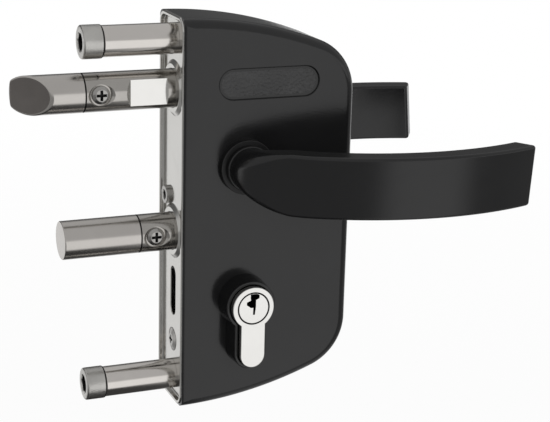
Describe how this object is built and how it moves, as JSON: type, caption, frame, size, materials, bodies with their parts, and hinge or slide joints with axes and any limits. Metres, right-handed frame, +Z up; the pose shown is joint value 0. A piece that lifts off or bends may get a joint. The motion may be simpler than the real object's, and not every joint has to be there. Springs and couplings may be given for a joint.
{
  "type": "surface-mounted gate lock",
  "caption": "Black coated surface-mounted gate lock case with a steel forend, a bevelled latch bolt, a round deadbolt, sleeved fixing bolts, bowed levers and a profile cylinder.",
  "frame": {"origin": "on the seat plane of the forend's rim, midway between the two fixing bolts and on the mid-plane of the case", "axes": "+X from the seat into the lock and on to the levers' free ends, +Y from the front face to the back, +Z up; the bolts point along -X"},
  "size_m": [0.1916, 0.119, 0.155],
  "materials": {
    "black_coated_alloy": "satin black powder coat",
    "black_coated_lever": "satin black coat",
    "lever_bush": "matte",
    "forend_stainless": "polished",
    "bolt_stainless": "satin",
    "fixing_steel": "satin",
    "screw_steel": "satin",
    "inner_steel": "zinc plated",
    "spring_steel": "satin",
    "plated_brass": "polished nickel plate",
    "pin_brass": "satin"
  },
  "bodies": {
    "case": {"case_shell": "black_coated_alloy", "forend_tray": "forend_stainless", "front_side_plate": "inner_steel", "rear_side_plate": "inner_steel", "spacer_posts": "inner_steel", "tie_rod": "inner_steel", "forend_screw": "screw_steel", "latch_guide_bush": "forend_stainless", "deadbolt_guide_bush": "forend_stainless", "fixing_screws": "fixing_steel", "fixing_sleeves": "fixing_steel", "fixing_nuts": "inner_steel", "latch_spring": "spring_steel", "spring_stop_plate": "inner_steel", "spring_guide_pin": "inner_steel", "tail_guide_post": "inner_steel", "detent_spring": "spring_steel", "return_spring": "spring_steel", "front_lever_bush": "lever_bush", "rear_lever_bush": "lever_bush", "cylinder_body": "plated_brass", "cylinder_screw": "screw_steel", "driver_pins": "pin_brass", "pin_springs": "spring_steel"},
    "levers": {"follower": "inner_steel", "spindle": "inner_steel", "front_lever": "black_coated_lever", "rear_lever": "black_coated_lever", "lever_set_screws": "screw_steel"},
    "latch": {"latch_bar": "bolt_stainless", "latch_tip": "bolt_stainless", "latch_tip_screw": "screw_steel"},
    "deadbolt": {"deadbolt_bar": "bolt_stainless", "deadbolt_tip": "bolt_stainless", "deadbolt_tip_screw": "screw_steel", "deadbolt_tail": "inner_steel", "tail_rivets": "inner_steel"},
    "cam": {"cylinder_cam": "plated_brass"},
    "front_plug": {"front_plug": "plated_brass", "front_plug_clip": "inner_steel", "front_key_pins": "pin_brass"},
    "rear_plug": {"rear_plug": "plated_brass", "rear_plug_clip": "inner_steel", "rear_key_pins": "pin_brass"}
  },
  "joints": [
    {"name": "lever_turn", "type": "hinge", "parent": "case", "child": "levers", "pos_m": [0.0255, 0, 0.02], "axis": [0, 1, 0], "range_deg": [0, 44], "stiffness_Nm_per_rad": 0.5, "springref_deg": -57.3, "deforming": ["return_spring"]},
    {"name": "latch_slide", "type": "slide", "parent": "case", "child": "latch", "axis": [1, 0, 0], "range_m": [0, 0.01828], "stiffness_N_per_m": 200, "springref_m": -0.02, "deforming": ["latch_spring"]},
    {"name": "key_turn", "type": "hinge", "parent": "case", "child": "front_plug", "pos_m": [0.0255, 0, -0.034], "axis": [0, -1, 0], "range_deg": [0, 360]},
    {"name": "cam_swing", "type": "hinge", "parent": "case", "child": "cam", "pos_m": [0.0255, 0, -0.034], "axis": [0, -1, 0], "range_deg": [0, 110]},
    {"name": "deadbolt_slide", "type": "slide", "parent": "case", "child": "deadbolt", "axis": [-1, 0, 0], "range_m": [0, 0.02], "deforming": ["detent_spring"]},
    {"name": "rear_key_turn", "type": "hinge", "parent": "case", "child": "rear_plug", "pos_m": [0.0255, 0, -0.034], "axis": [0, -1, 0], "range_deg": [0, 360]}
  ],
  "couplings": [
    {"joint": "latch_slide", "follows": "lever_turn", "m_per_rad": 0.023804},
    {"joint": "key_turn", "follows": "deadbolt_slide", "rad_per_m": 314.16},
    {"joint": "cam_swing", "follows": "deadbolt_slide", "rad_per_m": 95.993}
  ]
}
